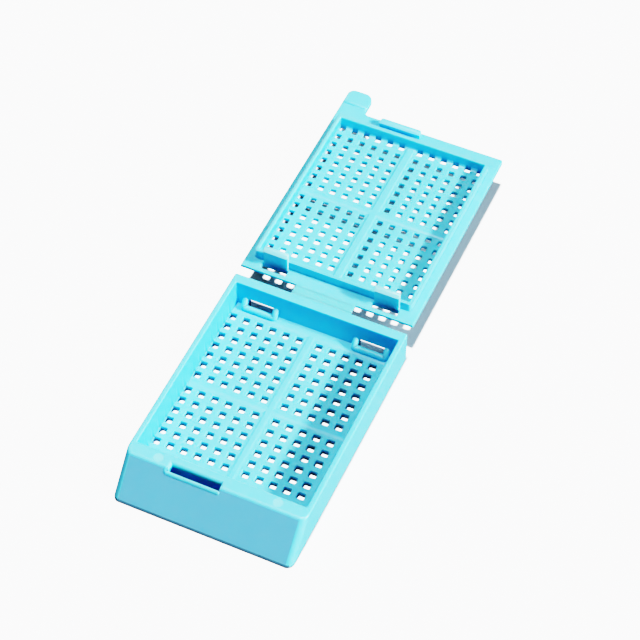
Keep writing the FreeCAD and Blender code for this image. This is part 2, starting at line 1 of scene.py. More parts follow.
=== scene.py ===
import bpy
import bmesh
import json
import math
from mathutils import Matrix, Vector


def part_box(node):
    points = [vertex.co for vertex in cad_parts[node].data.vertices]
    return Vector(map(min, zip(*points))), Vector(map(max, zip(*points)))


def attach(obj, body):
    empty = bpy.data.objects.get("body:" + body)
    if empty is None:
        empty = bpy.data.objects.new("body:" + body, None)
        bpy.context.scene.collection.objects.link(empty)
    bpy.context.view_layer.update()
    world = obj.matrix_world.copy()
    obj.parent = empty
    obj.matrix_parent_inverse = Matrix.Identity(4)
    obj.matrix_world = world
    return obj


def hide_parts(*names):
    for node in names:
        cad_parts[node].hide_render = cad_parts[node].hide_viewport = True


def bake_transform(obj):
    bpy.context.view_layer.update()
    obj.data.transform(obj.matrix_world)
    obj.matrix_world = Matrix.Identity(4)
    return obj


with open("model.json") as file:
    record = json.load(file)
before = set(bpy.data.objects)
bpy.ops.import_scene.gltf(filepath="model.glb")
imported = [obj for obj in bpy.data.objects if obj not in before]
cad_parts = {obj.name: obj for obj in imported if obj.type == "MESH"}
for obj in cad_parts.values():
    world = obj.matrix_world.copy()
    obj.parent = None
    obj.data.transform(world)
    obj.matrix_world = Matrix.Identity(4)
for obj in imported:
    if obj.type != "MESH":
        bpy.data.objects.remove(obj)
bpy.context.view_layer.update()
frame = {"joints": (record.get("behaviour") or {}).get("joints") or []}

# Shapes are drawn in millimetres and scaled to metres once, when a piece is finished.
millimetre = 0.001
scene = bpy.context.scene

hingeStrip = {
    "gap": 1.75,            # tray's rear face to lid's near edge
    "width": 9.8,
    "web": 0.45,            # thickness beside the fold
    "film": 0.2,            # thickness at the fold
    "groove": 0.42,         # half width of the thinned strip
    "root": 0.3,            # how far the web is rooted in each half
    "stub": 0.2,            # how far each half carries the web before the bending strip
    "rows": 28,             # rows along the strip
}

# places taken from the frame, in millimetres

lowBase, highBase = (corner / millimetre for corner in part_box("base"))
lowLid, highLid = (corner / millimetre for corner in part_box("lid"))
fold = Vector(frame["joints"][0]["pos_m"]) / millimetre

side = highBase.x
top = fold.z                                    # rim of the tray and upper face of the open lid
front = lowBase.y
rear = fold.y - hingeStrip["gap"] / 2
lidNear = fold.y + hingeStrip["gap"] / 2
past = 0.3                                      # how far a cutting tool passes the face it opens
print("places ready: the lid spans", round(lowLid.y, 2), "to", round(highLid.y, 2), "along Y")


def newObject(name, verts, faces):
    mesh = bpy.data.meshes.new(name)
    mesh.from_pydata([tuple(vert) for vert in verts], [], faces)
    work = bmesh.new()
    work.from_mesh(mesh)
    bmesh.ops.recalc_face_normals(work, faces=work.faces)
    work.to_mesh(mesh)
    work.free()
    thing = bpy.data.objects.new(name, mesh)
    scene.collection.objects.link(thing)
    return thing


def ringAt(box, radius, height, steps=3, frontRadius=None):
    # a level rounded rectangle; box is left, right, low, high, and frontRadius is (across, along)
    left, right, low, high = box
    atRear, atFront = (radius, radius), frontRadius or (radius, radius)
    corners = ((right, high, -1, -1, atRear), (left, high, 1, -1, atRear), (left, low, 1, 1, atFront),
               (right, low, -1, 1, atFront))
    ring = []
    for quarter, (x, y, inX, inY, (across, along)) in enumerate(corners):
        for step in range(steps + 1):
            angle = math.pi / 2 * (quarter + step / steps)
            ring.append((x + across * (inX + math.cos(angle)), y + along * (inY + math.sin(angle)), height))
    return ring


def grow(box, amount):
    return (box[0] - amount, box[1] + amount, box[2] - amount, box[3] + amount)


def stack(name, rings):
    # a closed solid through rings that all have as many points
    count = len(rings[0])
    verts = [vert for ring in rings for vert in ring]
    faces = [tuple(range(count)), tuple(range(len(verts) - count, len(verts)))]
    for lower in range(len(rings) - 1):
        for index in range(count):
            near, far = lower * count + index, lower * count + (index + 1) % count
            faces.append((near, far, far + count, near + count))
    return newObject(name, verts, faces)


def prism(name, outline, left, right):
    # a side view of (y, z) points drawn across X
    return stack(name, [[(x, y, z) for y, z in outline] for x in (left, right)])


def edgeArc(radius, steps=3):
    # (outward, downward) pairs of a rounded edge, from level to upright
    turns = [math.pi / 2 * step / steps for step in range(steps + 1)]
    return [(radius * (1 - math.sin(turn)), radius * (1 - math.cos(turn))) for turn in turns]


def rampedField(name, box, floor, mouth, ramp, steps=6, corner=0.12):
    # a shallow pocket whose edges rise gently, and a little more steeply across than along
    left, right, low, high = box
    squeeze, over = 0.8, 0.01
    rings = []
    for step in range(steps + 2):
        share = min(step / steps, 1)
        height = floor + (mouth - floor) * (1 - math.cos(math.pi * share)) / 2 + over * (step > steps)
        across, along = squeeze * ramp * share, ramp * share
        rings.append(ringAt((left - across, right + across, low - along, high + along), corner, height))
    return stack(name, rings)


def pocketTool(name, box, floor, mouth, edge, root, draft, corner=0.2):
    # what a pin of the mould would be: flared at the mouth, drafted, and rounded at its floor
    rings = [ringAt(grow(box, edge), corner + edge, mouth + past)]
    rings += [ringAt(grow(box, out), corner + out, mouth - down) for out, down in edgeArc(edge)]
    for out, down in reversed(edgeArc(root)):
        rings.append(ringAt(grow(box, -draft - out), corner, floor + down))
    return stack(name, rings)


def raisedBlock(name, box, base, crest, edge, corner):
    # a block with a rounded upper edge
    rings = [ringAt(box, corner, base)]
    for out, down in reversed(edgeArc(edge)):
        rings.append(ringAt(grow(box, out - edge), corner, crest - down))
    return stack(name, rings)


def bevelled(thing, width, chooses, segments=3):
    # round the edges that chooses(start, end) accepts
    work = bmesh.new()
    work.from_mesh(thing.data)
    edges = [edge for edge in work.edges if chooses(edge.verts[0].co, edge.verts[1].co)]
    bmesh.ops.bevel(work, geom=edges, offset=width, segments=segments, profile=0.5,
                    affect="EDGES", clamp_overlap=False)
    bmesh.ops.recalc_face_normals(work, faces=work.faces)
    work.to_mesh(thing.data)
    work.free()
    return thing


def roundBar(name, points, radius, sides=16):
    # a bar with domed ends along a bent line
    verts, faces = [], []
    rings = []
    count = len(points)
    for index, point in enumerate(points):
        ahead = (points[min(index + 1, count - 1)] - points[max(index - 1, 0)]).normalized()
        if index == 0:
            rings += [(point - ahead * radius * math.cos(turn), radius * math.sin(turn), ahead)
                      for turn in (math.radians(step) for step in (15, 35, 60))]
        rings.append((point, radius, ahead))
        if index == count - 1:
            rings += [(point + ahead * radius * math.cos(turn), radius * math.sin(turn), ahead)
                      for turn in (math.radians(step) for step in (60, 35, 15))]
    for centre, size, ahead in rings:
        turn = ahead.to_track_quat("Z", "X")
        for step in range(sides):
            angle = math.tau * step / sides
            verts.append(centre + turn @ Vector((math.cos(angle) * size, math.sin(angle) * size, 0)))
    for index in range(len(rings) - 1):
        for step in range(sides):
            near, far = index * sides + step, index * sides + (step + 1) % sides
            faces.append((near, far, far + sides, near + sides))
    faces += [tuple(range(sides)), tuple(range(len(verts) - sides, len(verts)))]
    return newObject(name, verts, faces)


def evaluated(thing):
    # the mesh with its modifiers applied, and the modifiers gone
    graph = bpy.context.evaluated_depsgraph_get()
    mesh = bpy.data.meshes.new_from_object(thing.evaluated_get(graph), depsgraph=graph)
    thing.modifiers.clear()
    thing.data = mesh
    return thing


def combine(thing, tool, operation):
    # unite with the tool, or cut it away, and throw the tool away
    change = thing.modifiers.new(operation.title(), "BOOLEAN")
    change.operation = operation
    change.solver = "MANIFOLD"
    change.object = tool
    evaluated(thing)
    bpy.data.objects.remove(tool)
    return thing


def cut(thing, *tools):
    for tool in tools:
        combine(thing, tool, "DIFFERENCE")


def unite(thing, *extras):
    for extra in extras:
        combine(thing, extra, "UNION")


def level(value, other, within=0.002):
    return abs(value - other) < within


def pinGridTree():
    # perforations: one pin, repeated on a grid
    # inputs: the pin, how many across and along, the pitches and the place of the first pin
    tree = bpy.data.node_groups.new("PinGrid", "GeometryNodeTree")
    tree.interface.new_socket("Geometry", in_out="OUTPUT", socket_type="NodeSocketGeometry")
    tree.interface.new_socket("Pin", in_out="INPUT", socket_type="NodeSocketObject")
    for name in ("Columns", "Rows"):
        tree.interface.new_socket(name, in_out="INPUT", socket_type="NodeSocketInt")
    for name in ("Pitch Across", "Pitch Along"):
        tree.interface.new_socket(name, in_out="INPUT", socket_type="NodeSocketFloat")
    tree.interface.new_socket("First Pin", in_out="INPUT", socket_type="NodeSocketVector")
    tree.interface.new_socket("Material", in_out="INPUT", socket_type="NodeSocketMaterial")
    node, link = tree.nodes.new, tree.links.new
    given, result = node("NodeGroupInput"), node("NodeGroupOutput")
    count, number = node("ShaderNodeMath"), node("GeometryNodeInputIndex")
    count.operation = "MULTIPLY"
    link(given.outputs["Columns"], count.inputs[0])
    link(given.outputs["Rows"], count.inputs[1])
    points = node("GeometryNodePoints")
    link(count.outputs[0], points.inputs["Count"])
    column, row, rowWhole = (node("ShaderNodeMath") for _ in range(3))
    column.operation, row.operation, rowWhole.operation = "MODULO", "DIVIDE", "FLOOR"
    for step in (column, row):
        link(number.outputs[0], step.inputs[0])
        link(given.outputs["Columns"], step.inputs[1])
    link(row.outputs[0], rowWhole.inputs[0])
    across, along, place = node("ShaderNodeMath"), node("ShaderNodeMath"), node("ShaderNodeCombineXYZ")
    for step, index, pitch, axis in ((across, column, "Pitch Across", "X"),
                                     (along, rowWhole, "Pitch Along", "Y")):
        step.operation = "MULTIPLY"
        link(index.outputs[0], step.inputs[0])
        link(given.outputs[pitch], step.inputs[1])
        link(step.outputs[0], place.inputs[axis])
    shift = node("ShaderNodeVectorMath")
    link(place.outputs[0], shift.inputs[0])
    link(given.outputs["First Pin"], shift.inputs[1])
    link(shift.outputs[0], points.inputs["Position"])
    pin, spread = node("GeometryNodeObjectInfo"), node("GeometryNodeInstanceOnPoints")
    realize, paint = node("GeometryNodeRealizeInstances"), node("GeometryNodeSetMaterial")
    link(given.outputs["Pin"], pin.inputs["Object"])
    link(points.outputs[0], spread.inputs["Points"])
    link(pin.outputs["Geometry"], spread.inputs["Instance"])
    link(spread.outputs[0], realize.inputs[0])
    link(realize.outputs[0], paint.inputs["Geometry"])
    link(given.outputs["Material"], paint.inputs["Material"])
    link(paint.outputs[0], result.inputs[0])
    return tree


def pinGrid(tree, name, pin, columns, rows, pitch, first, material):
    # a mesh of pins; the pin stands at the origin and is thrown away
    thing = newObject(name, [], [])
    grid = thing.modifiers.new("Pins", "NODES")
    grid.node_group = tree
    values = {"Pin": pin, "Columns": columns, "Rows": rows, "Pitch Across": pitch[0],
              "Pitch Along": pitch[1], "First Pin": first, "Material": material}
    for item in tree.interface.items_tree:
        if item.in_out == "INPUT":
            grid[item.identifier] = values[item.name]
    evaluated(thing)
    bpy.data.objects.remove(pin)
    return thing


def holePin(size, upper, lower, edge):
    # the shape of one hole with rounded rims, from above the upper face to below the lower one
    box = (-size[0] / 2, size[0] / 2, -size[1] / 2, size[1] / 2)
    corner, over = 0.16, 0.02
    profile = [(out, upper - down) for out, down in edgeArc(edge, 2)]
    profile += [(out, lower + down) for out, down in reversed(edgeArc(edge, 2))]
    profile = [(edge, upper + over)] + profile + [(edge, lower - over)]
    return stack("holePin", [ringAt(grow(box, out), corner + out, z, 2) for out, z in profile])


plastic = {
    "glow": 0.85,                           # how much light soaks through the thin walls
    "soak": 1.3 * millimetre,
    "soakColours": (0.35, 0.9, 1.0),        # how far each colour soaks, as a share
    "index": 1.48,
    "flowScale": 90,
    "grainScale": 5200,
    "bumpStrength": 0.25,
    "bumpDepth": 0.02 * millimetre,
}
# Colour, colour of the flow marks and roughness. The real part is one plastic of the first colour. Those
# after hingePlastic are tuned for this one view and light: the writing face, the upright walls and the foot
# are painted shade, and the latch slot and the hooks are painted light.
finishes = {
    "trayPlastic": ((0.132, 0.62, 0.9, 1.0), (0.12, 0.6, 0.88, 1.0), 0.36),
    "hingePlastic": ((0.132, 0.62, 0.9, 1.0), (0.12, 0.6, 0.88, 1.0), 0.32),
    "writingPlastic": ((0.115, 0.39, 0.625, 1.0), (0.115, 0.39, 0.625, 1.0), 0.6),
    "markPlastic": ((0.2, 0.7, 0.92, 1.0), (0.2, 0.7, 0.92, 1.0), 0.24),
    "wallPlastic": ((0.06, 0.5, 0.8, 1.0), (0.06, 0.5, 0.8, 1.0), 0.36),
    "footPlastic": ((0.045, 0.15, 0.24, 1.0), (0.045, 0.15, 0.24, 1.0), 0.6),
    "slotPlastic": ((0.05, 0.8, 0.86, 1.0), (0.05, 0.8, 0.86, 1.0), 0.4),
    "thinPlastic": ((0.22, 0.7, 0.9, 1.0), (0.22, 0.7, 0.9, 1.0), 0.32),
}


def mouldedGroup():
    # faint flow marks and a fine eroded grain, as a steel mould leaves them
    group = bpy.data.node_groups.new("MouldedSurface", "ShaderNodeTree")
    sockets = (("Colour", "NodeSocketColor", "INPUT"), ("Flow Colour", "NodeSocketColor", "INPUT"),
               ("Roughness", "NodeSocketFloat", "INPUT"), ("Flow Scale", "NodeSocketFloat", "INPUT"),
               ("Grain Scale", "NodeSocketFloat", "INPUT"), ("Colour", "NodeSocketColor", "OUTPUT"),
               ("Roughness", "NodeSocketFloat", "OUTPUT"), ("Height", "NodeSocketFloat", "OUTPUT"))
    for name, kind, direction in sockets:
        group.interface.new_socket(name, in_out=direction, socket_type=kind)
    node, link = group.nodes.new, group.links.new
    given, result, place = node("NodeGroupInput"), node("NodeGroupOutput"), node("ShaderNodeTexCoord")
    stretch, flow, grain = node("ShaderNodeMapping"), node("ShaderNodeTexNoise"), node("ShaderNodeTexNoise")
    stretch.inputs["Scale"].default_value = (1.0, 0.35, 1.0)
    link(place.outputs["Object"], stretch.inputs["Vector"])
    link(stretch.outputs[0], flow.inputs["Vector"])
    link(place.outputs["Object"], grain.inputs["Vector"])
    link(given.outputs["Flow Scale"], flow.inputs["Scale"])
    link(given.outputs["Grain Scale"], grain.inputs["Scale"])
    flow.inputs["Detail"].default_value = 3
    grain.inputs["Detail"].default_value = 4
    blend = node("ShaderNodeMix")
    blend.data_type = "RGBA"
    link(flow.outputs["Fac"], blend.inputs["Factor"])
    link(given.outputs["Colour"], blend.inputs["A"])
    link(given.outputs["Flow Colour"], blend.inputs["B"])
    link(blend.outputs["Result"], result.inputs["Colour"])
    spread, rough = node("ShaderNodeMapRange"), node("ShaderNodeMath")
    spread.inputs["To Min"].default_value = -0.06
    spread.inputs["To Max"].default_value = 0.08
    link(grain.outputs["Fac"], spread.inputs["Value"])
    link(spread.outputs[0], rough.inputs[0])
    link(given.outputs["Roughness"], rough.inputs[1])
    link(rough.outputs[0], result.inputs["Roughness"])
    height = node("ShaderNodeMix")
    height.inputs["Factor"].default_value = 0.65
    link(grain.outputs["Fac"], height.inputs["A"])
    link(flow.outputs["Fac"], height.inputs["B"])
    link(height.outputs["Result"], result.inputs["Height"])
    return group


def plasticMaterial(name, group, colour, deepColour, roughness):
    material = bpy.data.materials.new(name)
    material.use_nodes = True
    tree = material.node_tree
    shader = tree.nodes["Principled BSDF"]
    shader.inputs["Subsurface Weight"].default_value = plastic["glow"]
    shader.inputs["Subsurface Radius"].default_value = plastic["soakColours"]
    shader.inputs["Subsurface Scale"].default_value = plastic["soak"]
    shader.inputs["IOR"].default_value = plastic["index"]
    surface = tree.nodes.new("ShaderNodeGroup")
    surface.node_tree = group
    surface.inputs["Colour"].default_value = colour
    surface.inputs["Flow Colour"].default_value = deepColour
    surface.inputs["Roughness"].default_value = roughness
    surface.inputs["Flow Scale"].default_value = plastic["flowScale"]
    surface.inputs["Grain Scale"].default_value = plastic["grainScale"]
    bump = tree.nodes.new("ShaderNodeBump")
    bump.inputs["Strength"].default_value = plastic["bumpStrength"]
    bump.inputs["Distance"].default_value = plastic["bumpDepth"]
    tree.links.new(surface.outputs["Colour"], shader.inputs["Base Color"])
    tree.links.new(surface.outputs["Roughness"], shader.inputs["Roughness"])
    tree.links.new(surface.outputs["Height"], bump.inputs["Height"])
    tree.links.new(bump.outputs["Normal"], shader.inputs["Normal"])
    return material


moulded = mouldedGroup()
paints = {name: plasticMaterial(name, moulded, *finish) for name, finish in finishes.items()}
pins = pinGridTree()
print("finishes ready")


def finishPiece(thing, name, material, smooth=40):
    # to metres, at the origin, with soft edges and flat faces that stay flat
    thing.name = thing.data.name = name
    thing.data.transform(Matrix.Scale(millimetre, 4))
    thing.data.materials.clear()
    thing.data.materials.append(material)
    for face in thing.data.polygons:
        face.material_index = 0
    thing.data.shade_smooth()
    thing.data.set_sharp_from_angle(angle=math.radians(smooth))
    weight = thing.modifiers.new("Flat faces", "WEIGHTED_NORMAL")
    weight.keep_sharp = True
    return thing


tray = {
    "toe": 0.3,
    "slopeRun": 4.94,
    "shelfDepth": 2.11,
    "sideWall": 0.87,
    "rearWall": 1.6,
    "shell": 0.8,
    "draft": 0.2,
    "floorTop": 1.3,
    "floorUnder": 0.4,
    "foot": 0.9,
    "shelfRound": 0.8,
    "slopeRound": 1.0,
    "cornerRound": 0.35,
    "edgeRound": 0.16,
    "footRound": 0.28,
    "cavityRoot": 0.12,
    "shadeLine": 0.22,          # the strip of the slope just above the toe
}
floorGrid = {
    "hole": (1.22, 1.15),
    "pitch": (2.22, 2.02),
    "rib": (3.28, 3.09),         # between the middles of the holes beside the two wide ribs
    "columns": 6,
    "rows": 7,
    "shift": 0.4,                # of the whole grid, toward the slope
    "recess": 0.09,              # of the four fields
    "rim": 0.3,
    "ramp": 0.6,
    "edge": 0.07,
    "fluteCorner": 0.5,
}
catch = {
    "offset": 9.2,
    "width": 4.4,
    "height": 2.95,
    "guardWall": 0.7,
    "guardFront": 0.45,
    "guardReach": 2.87,          # from the rear face
    "guardHeight": 0.7,          # above the floor
    "guardFoot": 0.6,            # inside the floor
    "round": 0.4,
    "crest": 0.5,
    "relief": 0.8,               # the rear wall is thinned from behind by this much, a guess
    "reliefLeft": 0.8,           # and so far to each side of the opening
    "reliefRight": 0.3,
}
latch = {
    "offset": 3.1,
    "width": 8.0,
    "back": 0.81,                # from the shelf's edge
    "front": 0.36,
    "lead": 0.5,
    "depth": 1.8,
    "lipRadius": 0.45,
    "lipSink": 0.44,
    "lipForward": 0.03,
    "lipLeft": 0.5,
}
ejector = {"radius": 0.75, "depth": 0.03, "places": ((-9.25, 0.95), (9.45, 1.15))}

shelfEdge = front + tray["slopeRun"]
trayBox = (-side + tray["sideWall"], side - tray["sideWall"], shelfEdge + tray["shelfDepth"],
           rear - tray["rearWall"])
floorMiddle = (trayBox[2] + trayBox[3]) / 2 - floorGrid["shift"]
slopeDrop = (top - tray["toe"]) / tray["slopeRun"]
slopeAngle = math.atan(slopeDrop)
beside = 0.05                   # how far from its wall a chosen face may lie
steep = 0.6                     # how far a chosen face turns toward its side


def painted(piece, choices):
    # finish the piece, with a further material on the faces that each chooser accepts
    groups = [[face.index for face in piece.data.polygons if chooses(face)] for chooses, name in choices]
    finishPiece(piece, piece.name, paints["trayPlastic"])
    for index, (faces, (chooses, name)) in enumerate(zip(groups, choices), 1):
        piece.data.materials.append(paints[name])
        for face in faces:
            piece.data.polygons[face].material_index = index
    print(piece.name, "faces with their own finish:", [len(faces) for faces in groups])
    return piece


def frontAt(height):
    # the front face: an upright toe, the slope, and the round edge of the shelf
    radius = tray["shelfRound"]
    bend = top - radius + radius * math.cos(slopeAngle)
    if height <= tray["toe"]:
        return front
    if height <= bend:
        return front + (height - tray["toe"]) / slopeDrop
    tangent = shelfEdge + radius * math.tan(slopeAngle / 2)
    return tangent - math.sqrt(max(radius ** 2 - (height - top + radius) ** 2, 0))


def outerBlock():
    edge, radius = tray["edgeRound"], tray["shelfRound"]
    levels = {down: out for out, down in edgeArc(tray["footRound"])}
    levels[tray["toe"]] = levels[tray["toe"] + tray["shadeLine"]] = 0.0
    for step in range(7):
        levels[top - radius + radius * math.cos(slopeAngle * (1 - step / 7))] = 0.0
    levels = {height: out for height, out in levels.items() if height < top - edge}
    levels.update({top - down: out for out, down in edgeArc(edge, 4)})
    along = tray["slopeRound"] / math.sin(slopeAngle)
    rings = []
    for height, inset in sorted(levels.items()):
        box = (inset - side, side - inset, frontAt(height) + (inset if height < 1 else 0), rear - inset)
        rings.append(ringAt(box, tray["cornerRound"], height, 6, (tray["slopeRound"], along)))
    return stack("block", rings)


def trayHollows(shell):
    cut(shell, pocketTool("cavity", trayBox, tray["floorTop"], top, tray["edgeRound"], tray["cavityRoot"],
                          tray["draft"]))
    inset = side - tray["foot"]
    under = (-inset, inset, trayBox[2] - tray["shell"], rear - tray["foot"])
    cut(shell, stack("under", [ringAt(under, 0.2, z) for z in (-past, tray["floorUnder"])]))
    skin = tray["shell"] * math.hypot(1, 1 / slopeDrop)
    ceiling, wall = top - tray["shell"], trayBox[2] - tray["shell"]
    inner = side - tray["sideWall"]
    hollow = [(front + skin - (tray["toe"] + past) / slopeDrop, -past), (wall, -past), (wall, ceiling),
              (front + skin + (ceiling - tray["toe"]) / slopeDrop, ceiling)]
    cut(shell, bevelled(prism("hollow", hollow, -inner, inner), 0.25,
                        lambda start, end: start.z > 0 or end.z > 0))


def trayCatches(shell):
    face, foot = rear - catch["guardReach"], trayBox[3] - tray["draft"]
    radius, half = catch["guardWall"] / 2, catch["width"] / 2
    low, high = tray["floorTop"] + catch["guardHeight"] - radius, catch["height"] - radius
    for middle in (-catch["offset"], catch["offset"]):
        inWall = rear - tray["rearWall"] / 2
        outline = [(face, catch["guardFoot"]), (inWall, catch["guardFoot"]), (inWall, high), (foot, high),
                   (face, low)]
        reach = half + catch["guardWall"]
        guard = prism("guard", outline, middle - reach, middle + reach)
        bevelled(guard, catch["round"], lambda start, end: level(start.y, face) and level(end.y, face)
                 and level(start.x, end.x), 4)
        unite(shell, guard)
        notch = (middle - half, middle + half, face + catch["guardFront"], rear + 1)
        behind = (middle - half - catch["reliefLeft"], middle + half + catch["reliefRight"],
                  rear - catch["relief"], rear + 1)
        for name, box in (("notch", notch), ("relief", behind)):
            cut(shell, stack(name, [ringAt(box, 0.12, z) for z in (-past, catch["height"])]))
        # the round crest of the guard, down from the wall, along the front and up again
        near, turn, bend = face + radius - 0.05, half + radius, catch["round"] / 2
        drop = (high - low) / (foot - near)
        path = [(foot + 0.3, high), (foot - 0.1, high - 0.1 * drop), (near + bend, low + bend * drop)]
        left = [(middle - turn, y, z) for y, z in path]
        right = [(middle + turn, y, z) for y, z in reversed(path)]
        corners = [(middle - turn + bend / 3, near + bend / 3, low), (middle - turn + bend, near, low),
                   (middle + turn - bend, near, low), (middle + turn - bend / 3, near + bend / 3, low)]
        path = [Vector(point) for point in left + corners + right]
        unite(shell, roundBar("guardCrest", path, catch["crest"]))


def trayLatch(shell):
    middle, reach = -latch["offset"], latch["width"] / 2
    ahead = latch["front"] + latch["lipForward"]
    crest = top - ahead * slopeDrop - latch["lipSink"]
    # the lip comes out of the shelf, drops at its left end and then runs along the slot
    left, right, low = middle - reach - latch["lipLeft"], middle + reach - 0.15, shelfEdge - ahead
    sunk = top - latch["lipRadius"]
    path = [(left + 0.1, shelfEdge + 0.7, sunk - 0.1), (left, shelfEdge + 0.1, sunk - 0.02),
            (left, low + 0.3, crest + 0.3 * slopeDrop - 0.1), (left + 0.1, low + 0.08, crest + 0.02),
            (left + 0.32, low, crest), (right, low, crest)]
    unite(shell, roundBar("lip", [Vector(point) for point in path], latch["lipRadius"]))
    low, high = shelfEdge - latch["front"], shelfEdge + latch["back"]
    rings = []
    for over, (out, down) in [(0.3, (latch["lead"], 0))] + [(0, pair) for pair in edgeArc(latch["lead"], 5)]:
        box = (middle - reach - out, middle + reach + 0.15 * out, low, high + out)
        rings.append(ringAt(box, 0.08, top + over - down))
    rings.append(ringAt((middle - reach, middle + reach, low, high), 0.08, top - latch["depth"]))
    cut(shell, stack("slot", rings))
    for x, back in ejector["places"]:
        ring = [(x + ejector["radius"] * math.cos(math.tau * step / 32),
                 shelfEdge + back + ejector["radius"] * math.sin(math.tau * step / 32)) for step in range(32)]
        levels = (top + 0.2, top - ejector["depth"])
        cut(shell, stack("ejector", [[(px, py, z) for px, py in ring] for z in levels]))


def trayFloor(shell):
    half = (floorGrid["hole"][0] / 2, floorGrid["hole"][1] / 2)
    inner = [floorGrid["rib"][axis] / 2 - half[axis] - floorGrid["rim"] for axis in (0, 1)]
    reach = floorGrid["rib"][1] / 2 + (floorGrid["rows"] - 1) * floorGrid["pitch"][1]
    outer = (trayBox[1] - tray["draft"], reach + half[1] + floorGrid["rim"])
    fieldTop = tray["floorTop"] - floorGrid["recess"]
    for x0, x1 in ((-outer[0], -inner[0]), (inner[0], outer[0])):
        for y0, y1 in ((-outer[1], -inner[1]), (inner[1], outer[1])):
            box = (x0, x1, floorMiddle + y0, floorMiddle + y1)
            cut(shell, rampedField("field", box, fieldTop, tray["floorTop"], floorGrid["ramp"]))
    pitch, columns, rows = floorGrid["pitch"], floorGrid["columns"], floorGrid["rows"]
    reachX = floorGrid["rib"][0] / 2 + (columns - 1) * pitch[0]
    for firstX in (-reachX, floorGrid["rib"][0] / 2):
        for firstY in (floorMiddle - reach, floorMiddle + floorGrid["rib"][1] / 2):
            pin = holePin(floorGrid["hole"], fieldTop, tray["floorUnder"], floorGrid["edge"])
            cut(shell, pinGrid(pins, "floorPins", pin, columns, rows, pitch, (firstX, firstY, 0),
                               paints["trayPlastic"]))
    flute = (-half[0], half[0], -half[1], half[1])      # the outer pins run up the drafted side walls
    for firstX in (-reachX, reachX):
        for firstY in (floorMiddle - reach, floorMiddle + floorGrid["rib"][1] / 2):
            levels = (fieldTop + 0.005, top + 0.2)
            pin = stack("flutePin", [ringAt(flute, floorGrid["fluteCorner"], z) for z in levels])
            cut(shell, pinGrid(pins, "flutes", pin, 1, rows, pitch, (firstX, firstY, 0),
                               paints["trayPlastic"]))


def webStub(start, toward):
    # the hinge web from inside a half up to where the thin strip takes over
    web = hingeStrip["width"] / 2
    near, far = sorted((start - toward * hingeStrip["root"], start + toward * hingeStrip["stub"]))
    return prism("webStub", [(near, top - hingeStrip["web"]), (far, top - hingeStrip["web"]), (far, top),
                             (near, top)], -web, web)


def onSlope(face):
    # the matt face that is written on, its colour darkened as painted shade
    y, z = face.center.yz
    return face.normal.y < -steep and z > tray["toe"] + tray["shadeLine"] and level(y, frontAt(z))


def onMark(face):
    x, y, z = face.center
    return level(z, top - ejector["depth"]) and any(
        math.hypot(x - place, y - shelfEdge - back) < ejector["radius"] for place, back in ejector["places"])


def onInnerWall(face):
    # the drafted walls around the floor, painted darker as shade
    x, y, z = face.center
    upright = abs(face.normal.z) < steep
    nearSide = trayBox[1] - tray["draft"] - beside < abs(x) < trayBox[1] + beside
    nearRear = trayBox[3] - tray["draft"] - beside < y < trayBox[3] + beside
    atSide = nearSide and trayBox[2] < y < trayBox[3]
    atRear = nearRear and abs(x) < trayBox[1]
    return upright and tray["floorTop"] - floorGrid["recess"] < z < top - beside and (atSide or atRear)


def onFoot(face):
    # the rounded edge all round the foot and the toe of the slope, painted as if in shade
    x, y, z = face.center
    around = abs(x) > side - tray["foot"] / 2 or y < front + 0.4 or y > rear - tray["foot"] / 2
    atToe = y < front + tray["shadeLine"] and z < tray["toe"] + tray["shadeLine"] and face.normal.y < -0.3
    return atToe or (around and z < tray["footRound"] and face.normal.z < 0.1)


def onSlot(face):
    # the walls of the latch slot, painted lighter and greener as light inside the slot
    x, y, z = face.center
    across = abs(x + latch["offset"]) < latch["width"] / 2 + beside
    along = shelfEdge - latch["front"] - beside < y < shelfEdge + latch["back"] + beside
    deep = top - latch["depth"] < z < top - latch["lead"] + beside
    return across and along and deep and abs(face.normal.z) < 0.5


def makeTray():
    shell = outerBlock()
    trayHollows(shell)
    trayCatches(shell)
    trayLatch(shell)
    unite(shell, webStub(rear, 1))
    trayFloor(shell)
    shell.name = "tray"
    return painted(shell, ((onSlope, "writingPlastic"), (onMark, "markPlastic"),
                           (onInnerWall, "wallPlastic"), (onSlot, "slotPlastic"), (onFoot, "footPlastic")))


trayPiece = makeTray()
print("tray ready:", len(trayPiece.data.polygons), "faces")

lid = {
    "plate": 0.9,
    "length": 36.7,
    "relief": 0.45,
    "corner": 0.3,
    "edgeRound": 0.1,
    "rooted": 0.4,               # how far into the plate whatever stands on it reaches
    "ribWall": 0.65,
    "ribHeight": 1.65,
    "ribEdge": 0.22,
    "sideClearance": 0.33,
    "rearClearance": 0.6,
    "frontClearance": 0.17,
}
panelGrid = {
    "hole": 1.0,
    "pitch": (2.056, 1.869),
    "rib": (3.14, 2.93),         # between the middles of the holes beside the two wide ribs
    "columns": 6,
    "nearRows": 8,
    "farRows": 8,
    "drop": 0.1,                 # of the panel below the plate
    "recess": 0.12,              # of the four fields below the panel
    "rim": 0.25,
    "ramp": 0.5,
    "edge": 0.07,
    "rootRound": 0.6,
}
hook = {
    "width": 4.1,
    "wall": 0.65,
    "clearance": 0.06,
    "lift": 0.05,
    "barb": 0.42,
    "rise": 0.4,
    "slotStart": 0.7,
    "edge": 0.12,
}
bead = {
    "endGap": 0.5,
    "clearance": 0.12,
    "height": 1.2,
    "neck": 0.72,
    "nose": 0.2,
    "noseHeight": 0.95,
    "round": 0.35,
}
tab = {
    "width": 4.3,
    "length": 4.4,
    "outerCorner": 1.1,
    "innerCorner": 1.5,
    "root": 0.8,
    "ridgePlace": 1.35,
    "ridgeRadius": 0.3,
    "ridgeSink": 0.1,
}

lidFar = lidNear + lid["length"]
ribBox = (trayBox[0] + lid["sideClearance"], trayBox[1] - lid["sideClearance"],
          lidNear + tray["rearWall"] + lid["rearClearance"],
          lidNear + rear - trayBox[2] - lid["frontClearance"])
panelBox = grow(ribBox, -lid["ribWall"])


